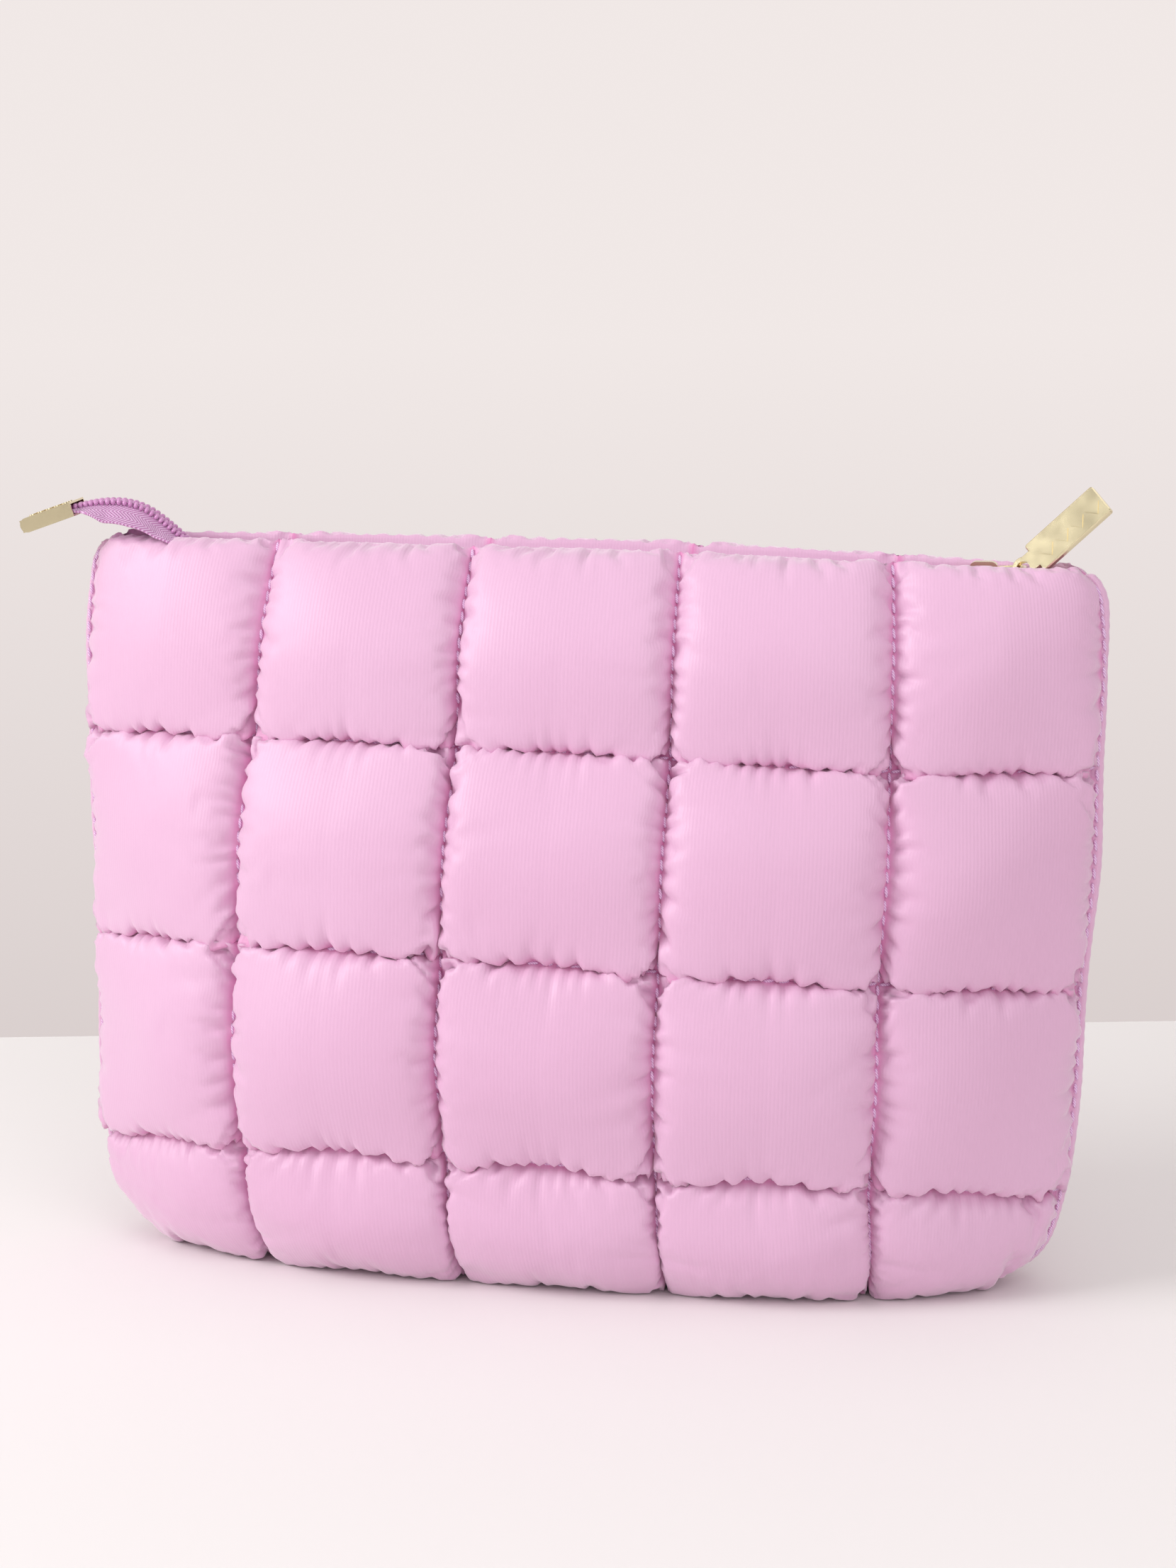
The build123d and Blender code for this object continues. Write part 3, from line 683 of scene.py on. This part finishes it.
def wall_lining(name, body, seed, mirrored):
    """A plain lining that hangs inside a wall, from beside the zip to the base."""
    down = np.linspace(LINING_TOP, LINING_FOOT, 57)
    across = np.linspace(0.03, COLUMNS - 0.03, 101)
    sheet = np.zeros((len(down), len(across), 3))
    for k, (height, depth, inner, outer, side, boxy) in enumerate(through(SEAM_LEVELS[::2], down)):
        x = through([-side, -outer, -inner, inner, outer, side], across)
        share = np.abs(np.clip(x / side, -1, 1))
        sheet[k, :, 0] = x + through(through(SEAM_SHIFT[::2], down[k:k + 1])[0], across)[:, 0]
        sheet[k, :, 1] = -SIDE_GAP - (depth - SIDE_GAP) * (1 - share ** (boxy * 1.1))
        sheet[k, :, 2] = height
    random = np.random.default_rng(seed)
    fold = np.zeros(sheet.shape[:2])
    for _ in range(14):
        middle, lean = random.uniform(3, 97), random.uniform(-0.25, 0.25)
        wide = random.uniform(1.5, 4)
        line = np.arange(len(across))[None, :] - middle - lean * np.arange(len(down))[:, None]
        fold += random.uniform(0.2, 0.7) * np.exp(-((line / wide) ** 2))
    edge = np.minimum(1, np.minimum(across, COLUMNS - across) / 0.4)[None, :]
    inner = sheet - outward(sheet) * ((LINING_INSET + fold) * edge)[..., None]
    inner[..., 1] = np.minimum(inner[..., 1], -0.7)
    uv = np.stack(np.meshgrid(across * SQUARE, -down * SQUARE), -1)
    flip = np.array([1, -1, 1]) if mirrored else np.ones(3)
    cuts = {"left": (0, 40), "middle": (40, 60), "right": (60, 100)}
    for side, (first, last) in cuts.items():
        part = slice(first, last + 1)
        mesh = grid_mesh(f"{name}_lining_{side}", inner[:, part] * flip, uv[:, part], flip=mirrored)
        piece = new_object(f"{name}_lining_{side}", mesh, LINING_CLOTH)
        thickened(piece, LINING, -1)
        blended(piece, side, body)
        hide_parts(f"{name}_lining")


wall_lining("front", "front_wall", 3, False)
wall_lining("back", "back_wall", 8, True)


# ------------------------------------------------------------------ base
BASE_HALF_LENGTH, BASE_HALF_DEPTH = 97.0, 17.5
BASE_SEAMS = (-71.5, -24.5, 24.5, 71.5)
BASE_VALLEY = 2.2  # the base's seams stand this far above its pads


def base_plan(share_x, share_y):
    """A point of the base's plan, which narrows in a curve towards both ends."""
    x = BASE_HALF_LENGTH * share_x
    return x, BASE_HALF_DEPTH * share_y * (1 - np.abs(share_x) ** 5.0) ** 0.8


def base_quilting():
    """The quilted underside: five flat pads that the bag stands on, with the seams clear of it."""
    across, deep = np.linspace(-1, 1, 181), np.linspace(-1, 1, 33)
    share_x, share_y = np.meshgrid(across, deep)
    x, y = base_plan(share_x, share_y)
    seam = np.min([np.abs(x - at) for at in BASE_SEAMS], axis=0)
    valley = BASE_VALLEY * np.exp(-((seam / 2.6) ** 2))
    rim = 2.4 * np.abs(share_y) ** 6 + 2.0 * np.abs(share_x) ** 14
    pleat = 0.25 * np.sin(x / 1.9 + 2 * np.sin(x / 11)) * np.abs(share_y) ** 3
    under = np.stack([x, y, 0.4 + valley + rim + pleat * (share_y**2)], -1)
    over = np.stack([x, y * 0.98, np.full_like(x, 5.6)], -1)
    shell = np.concatenate([under, over[::-1], under[:1]])
    uv = np.stack(np.meshgrid(across * BASE_HALF_LENGTH, np.linspace(0, 70, len(shell))), -1)
    piece = new_object("base_quilting", grid_mesh("base_quilting", shell, uv, flip=True), NYLON)
    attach(piece, "base")
    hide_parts("base_panel", "base_wadding")


def base_lining():
    """The lining laid over the base's padding."""
    across, deep = np.linspace(-1, 1, 91), np.linspace(-1, 1, 25)
    share_x, share_y = np.meshgrid(across, deep)
    x, y = base_plan(share_x, share_y)
    height = 7.0 + 3.0 * np.abs(share_y) ** 4 + 2.0 * np.abs(share_x) ** 10
    height = height + 0.35 * np.sin(x / 9 + y / 6) * np.cos(x / 15 - y / 5)
    sheet = np.stack([x * 1.04, y * 1.22, height], -1)
    mesh = grid_mesh("base_lining_sheet", sheet, sheet[..., :2], flip=True)
    piece = new_object("base_lining_sheet", mesh, LINING_CLOTH)
    thickened(piece, LINING, -1)
    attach(piece, "base")
    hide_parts("base_lining")


base_quilting()
base_lining()


# ------------------------------------------------------------------ side seams
def side_seam(edge_name, side, seed):
    """The two walls' edges, turned together and topstitched, with small gathers between stitches."""
    name = f"{edge_name}_flange"
    edge = front_form[HEM_CELLS - 2:, 0 if side < 0 else -1]
    rows = len(edge)
    random = np.random.default_rng(seed)
    every_ninth = np.arange(0, rows + 9, 9)
    slow = np.interp(np.arange(rows), every_ninth, random.normal(0, 0.22, len(every_ninth)))
    gather = 0.3 * np.cos(pi * np.arange(rows)) + 1.6 * slow
    tangent = np.gradient(edge[:, [0, 2]], axis=0)
    tangent /= np.linalg.norm(tangent, axis=1, keepdims=True)
    away = np.stack([-tangent[:, 1], tangent[:, 0]], -1) * side
    profile = [(-2.2, 0.7), (-1.4, 1.0), (-0.4, 1.1), (0.5, 1.3), (1.0, 1.25), (1.5, 0.8)]
    profile = profile + [(FLANGE, 0.0)]
    profile = profile + [(out, -half) for out, half in reversed(profile[:-1])]
    ring = []
    for out, half in profile:
        reach = out + (gather * 0.7 * max(0.0, out) / FLANGE)
        place = edge[:, [0, 2]] + away * reach[:, None]
        thick = -half * (1 + 0.18 * gather * (out > 0.5))
        ring.append(np.stack([place[:, 0], thick, place[:, 1]], -1))
    ring.append(ring[0])
    shell = np.stack(ring, 1)
    uv = np.stack(np.meshgrid(np.arange(shell.shape[1]) * 1.2, np.arange(rows) * -CELL), -1)
    mesh = grid_mesh(name, shell, uv, flip=side < 0)
    piece = new_object(name, mesh, NYLON)
    smooth = piece.modifiers.new("smooth", "SUBSURF")
    smooth.levels = smooth.render_levels = 1
    modified(piece)
    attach(piece, "base")
    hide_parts(f"{edge_name}_side_seam")
    points, along, facing = [], [], []
    for face in (-1, 1):
        for k in range(5, rows - 4, 2):
            x, z = edge[k, [0, 2]] + away[k] * 0.35
            points.append((x, face * 1.3, z))
            along.append((tangent[k, 0], 0, tangent[k, 1]))
            facing.append((0, face, 0))
    row = laid_row(f"{name}_stitches", STITCHES, THREAD, points, along, facing)
    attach(row, "base")


side_seam("left", -1, 5)
side_seam("right", 1, 6)


# ------------------------------------------------------------------ zip
def zip_side(name, body, mirrored):
    """One tape with its row of coil; past both ends of the coil the tape closes the mouth."""

    def parting(x):
        return SPLIT_SHIFT * np.clip((x - SPLIT_START) / (SPLIT_END - SPLIT_START), 0, 1)

    flip = np.array([1, -1, 1]) if mirrored else np.ones(3)
    crest = front_form[HEM_CELLS]
    cuts = {"left": (-TAPE_END, -THIRD), "middle": (-THIRD, THIRD), "right": (THIRD, TAPE_END)}
    for side, (start, end) in cuts.items():
        x = np.linspace(start, end, 48)
        crest_depth = np.abs(np.interp(x, crest[:, 0], crest[:, 1]))
        hem = np.minimum(HEM_INSET, np.maximum(crest_depth - 1.0, 0.5)) + 0.5
        near = np.minimum(0.1 + np.where(x > ZIP_RIGHT, 0, parting(x)), hem - 0.2)
        share = np.linspace(0, 1, 9)[:, None]
        y = -(near + (hem - near) * share)
        z = TAPE_HEIGHT - TAPE / 2 + 1.2 * np.maximum(0, share - 0.75) * np.ones_like(y)
        grid = np.stack([np.broadcast_to(x, y.shape), y, z], -1)
        mesh = grid_mesh(f"{name}_tape_{side}", grid * flip, grid[..., :2], flip=not mirrored)
        tape = new_object(f"{name}_tape_{side}", mesh, TAPE_CLOTH)
        thickened(tape, TAPE * MM, 1)
        blended(tape, side, body)
        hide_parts(f"{name}_zip_tape")

        turns = np.arange(ZIP_LEFT + 0.4, ZIP_RIGHT - 1.6, COIL_PITCH)
        turns = turns + (COIL_PITCH / 2 if mirrored else 0)
        turns = turns[(turns >= start) & (turns < end)]
        middle = COIL_GAP + COIL_WIDTH / 2 + parting(turns)
        level = np.full_like(turns, TAPE_HEIGHT + TAPE / 2 + COIL_HEIGHT / 2)
        points = np.stack([turns, -middle, level], -1) * flip
        along = np.tile([1.0, 0, 0], (len(turns), 1))
        facing = np.tile([0, 0, 1.0], (len(turns), 1))
        coil = laid_row(f"{name}_coil_{side}", COIL_TURNS, COIL_PLASTIC, points, along, facing,
                        Lean=-COIL_LEAN if mirrored else COIL_LEAN)
        blended(coil, side, body)
        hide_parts(f"{name}_zip_coil")
    end_stop = new_object(f"{name}_end_stop", nodes[f"{name}_top_stop"].data.copy())
    end_stop.data.materials.clear()
    end_stop.data.materials.append(GOLD)
    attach(end_stop, "base")
    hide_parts(f"{name}_top_stop")


zip_side("front", "front_wall", False)
zip_side("back", "back_wall", True)


# ------------------------------------------------------------------ loose tail
def tail_frame():
    """Where the tail starts, and its own directions to the right and to the back."""
    yaw = radians(TAIL_YAW)
    right, back = [cos(yaw), sin(yaw), 0.0], [-sin(yaw), cos(yaw), 0.0]
    return np.array([TAIL_X, 0.0, 0.0]), np.array(right), np.array(back)


def tail_line(count):
    """Points, directions, upward normals and distances along the tail, in its upright plane."""
    path = np.array([TAIL_PATH[0]] + TAIL_PATH + [TAIL_PATH[-1]], float)
    spans = len(path) - 2
    at = np.linspace(0, spans - 1e-6, count)
    index = at.astype(int)
    part = (at - index)[:, None]
    a, b, c = path[index], path[index + 1], path[index + 2]
    points = 0.5 * ((1 - part) ** 2 * a + (-2 * part**2 + 2 * part + 1) * b + part**2 * c)
    step = np.linalg.norm(np.diff(points, axis=0), axis=1)
    length = np.concatenate([[0], np.cumsum(step)])
    even = np.linspace(0, length[-1], count)
    points = np.stack([np.interp(even, length, points[:, n]) for n in (0, 1)], -1)
    run = np.gradient(points, axis=0)
    run /= np.linalg.norm(run, axis=1, keepdims=True)
    up = np.stack([run[:, 1], -run[:, 0]], -1)
    return points, run, up, even


def tail_droop(x, out):
    """The tape's edges hang lower than its coil between the mouth and the clip."""
    amount = 0.55 * np.clip((-x - 7) / 9, 0, 1) * np.clip((x + 37) / 9, 0, 1)
    return amount * out


def tail_half(half_name, side):
    """One tape of the tail with its row of coil."""
    name = f"tail_{half_name}_tape"
    origin, right, back = tail_frame()
    points, run, up, length = tail_line(90)
    half = np.interp(-points[:, 0], [-4, 10, 15, 22, 29, 34, 49],
                     [6.0, 6.3, 7.6, 8.8, 8.4, 5.6, 5.5])
    share = np.linspace(0, 1, 15)
    grid = np.zeros((len(share), len(points), 3))
    uv = np.zeros((len(share), len(points), 2))
    for n, part in enumerate(share):
        out = 0.1 + (half - 0.1) * part
        drop = tail_droop(points[:, 0], out)
        x = points[:, 0] + up[:, 0] * TAPE / 2
        spread = np.sqrt(np.maximum(out**2 - drop**2, 0))
        grid[n] = origin + x[:, None] * right + (side * spread)[:, None] * back
        grid[n, :, 2] = points[:, 1] + up[:, 1] * TAPE / 2 - drop
        uv[n] = np.stack([length, out], -1)
    mesh = grid_mesh(name, grid, uv, flip=side > 0)
    tape = new_object(name, mesh, TAPE_CLOTH)
    thickened(tape, TAPE * MM, -1)
    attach(tape, "tail")
    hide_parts(f"tail_tape_{half_name}")

    last = length[-1] - 1.0
    turns = np.arange(0.6 + (COIL_PITCH / 2 if side > 0 else 0), last, COIL_PITCH)
    place = np.stack([np.interp(turns, length, points[:, n]) for n in (0, 1)], -1)
    ups = np.stack([np.interp(turns, length, up[:, n]) for n in (0, 1)], -1)
    runs = np.stack([np.interp(turns, length, run[:, n]) for n in (0, 1)], -1)
    lift = TAPE / 2 + COIL_HEIGHT / 2
    middle = COIL_GAP + COIL_WIDTH / 2
    rows = origin + (place[:, :1] + ups[:, :1] * lift) * right + side * middle * back
    rows[:, 2] = place[:, 1] + ups[:, 1] * lift - tail_droop(place[:, 0], middle)
    along = runs[:, :1] * right
    along[:, 2] = runs[:, 1]
    facing = ups[:, :1] * right
    facing[:, 2] = ups[:, 1]
    coil = laid_row(f"tail_{half_name}_coil", COIL_TURNS, COIL_PLASTIC, rows, along, facing,
                    Lean=COIL_LEAN * -side)
    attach(coil, "tail")
    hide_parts(f"tail_coil_{half_name}")


tail_half("front", -1)
tail_half("back", 1)


# ------------------------------------------------------------------ metal
for name in ("slider_body", "slider_crown", "pull_link", "pull_tab", "tail_clip"):
    node = nodes[name]
    node.data.materials.clear()
    node.data.materials.append(GOLD)


# ------------------------------------------------------------------ stage, lights and camera
# In metres, and turned with the camera.
STAGE_SIZE, FLOOR_BACK = 4.0, 0.215
BACKDROP_PLACE, BACKDROP_HEIGHTS = 2.4, (-2, 3)
LIGHT_TARGET = (0, 0, 0.09)
CAMERA_AZIMUTH, CAMERA_PITCH, CAMERA_ROLL = 12.5, 11.0, 0.8
CAMERA_PLACE = (1.7, -760.0, 268.5)  # in millimetres
LENS, SENSOR = 73.2, 36.0


def glowing_backdrop(name, low, high):
    """A backdrop that glows with painted light instead of being lit, dimmer near the floor as painted
    shade.
    """
    material, tree, shader = new_material(name, (0.02, 0.02, 0.02), 0.9, Emission_Strength=1.0)
    place = add_node(tree, "ShaderNodeTexCoord")
    split = tree.nodes.new("ShaderNodeSeparateXYZ")
    tree.links.new(place.outputs["Object"], split.inputs["Vector"])
    rise = add_node(tree, "ShaderNodeMapRange", From_Min=-0.63, From_Max=0.1)
    tree.links.new(split.outputs["Z"], rise.inputs["Value"])
    ramp = color_ramp(tree, rise.outputs["Result"], low, high)
    # Painted light: the graded colour is the backdrop's own glow, dimmer near the floor as painted
    # shade.
    tree.links.new(ramp.outputs["Color"], shader.inputs["Emission Color"])
    return material


def stage():
    """A floor that ends a little behind the bag, and a glowing backdrop far behind it."""
    size, back = STAGE_SIZE, FLOOR_BACK
    floor, wall = bpy.data.meshes.new("floor"), bpy.data.meshes.new("backdrop")
    floor.from_pydata([(-size, -size, 0), (size, -size, 0), (size, back, 0), (-size, back, 0)],
                      [], [(0, 1, 2, 3)])
    far, (low, high) = BACKDROP_PLACE, BACKDROP_HEIGHTS
    wall.from_pydata([(-size, far, low), (size, far, low), (size, far, high), (-size, far, high)],
                     [], [(0, 1, 2, 3)])
    turn = Matrix.Rotation(radians(CAMERA_AZIMUTH), 4, "Z")
    floor_paint = new_material("floor_paint", (0.83, 0.80, 0.79), 0.9)[0]
    backdrop_glow = glowing_backdrop("backdrop_glow", (0.67, 0.60, 0.59), (0.85, 0.785, 0.77))
    for mesh, paint in ((floor, floor_paint), (wall, backdrop_glow)):
        mesh.transform(turn)
        new_object(mesh.name, mesh, paint)


def softbox(name, place, size, power):
    """A round area light that faces the bag."""
    light = bpy.data.lights.new(name, "AREA")
    light.shape, light.size, light.energy = "DISK", size, power
    lamp = bpy.data.objects.new(name, light)
    bpy.context.scene.collection.objects.link(lamp)
    lamp.location = place
    lamp.rotation_euler = (Vector(LIGHT_TARGET) - Vector(place)).to_track_quat("-Z", "Y").to_euler()


def camera():
    turn = Matrix.Rotation(radians(CAMERA_AZIMUTH), 3, "Z")
    look = turn @ Vector((0, cos(radians(CAMERA_PITCH)), -sin(radians(CAMERA_PITCH))))
    level = look.to_track_quat("-Z", "Y").to_matrix()
    roll = Matrix.Rotation(radians(CAMERA_ROLL), 3, look)
    place = turn @ Vector(CAMERA_PLACE) * MM
    data = bpy.data.cameras.new("camera")
    data.lens, data.sensor_width = LENS, SENSOR
    piece = bpy.data.objects.new("camera", data)
    bpy.context.scene.collection.objects.link(piece)
    piece.matrix_world = Matrix.Translation(place) @ (roll @ level).to_4x4()
    bpy.context.scene.camera = piece


stage()
camera()
softbox("key", (-1.25, -0.7, 0.85), 0.8, 16)
softbox("fill", (0.8, -1.3, 0.9), 1.6, 9.5)
softbox("top", (0.1, -0.1, 1.5), 1.4, 4)
world = bpy.data.worlds.new("studio")
bpy.context.scene.world = world
world.use_nodes = True
sky = world.node_tree.nodes["Background"]
sky.inputs["Color"].default_value, sky.inputs["Strength"].default_value = (1.0, 0.98, 0.97, 1), 0.5
bpy.context.scene.view_settings.view_transform = "Standard"
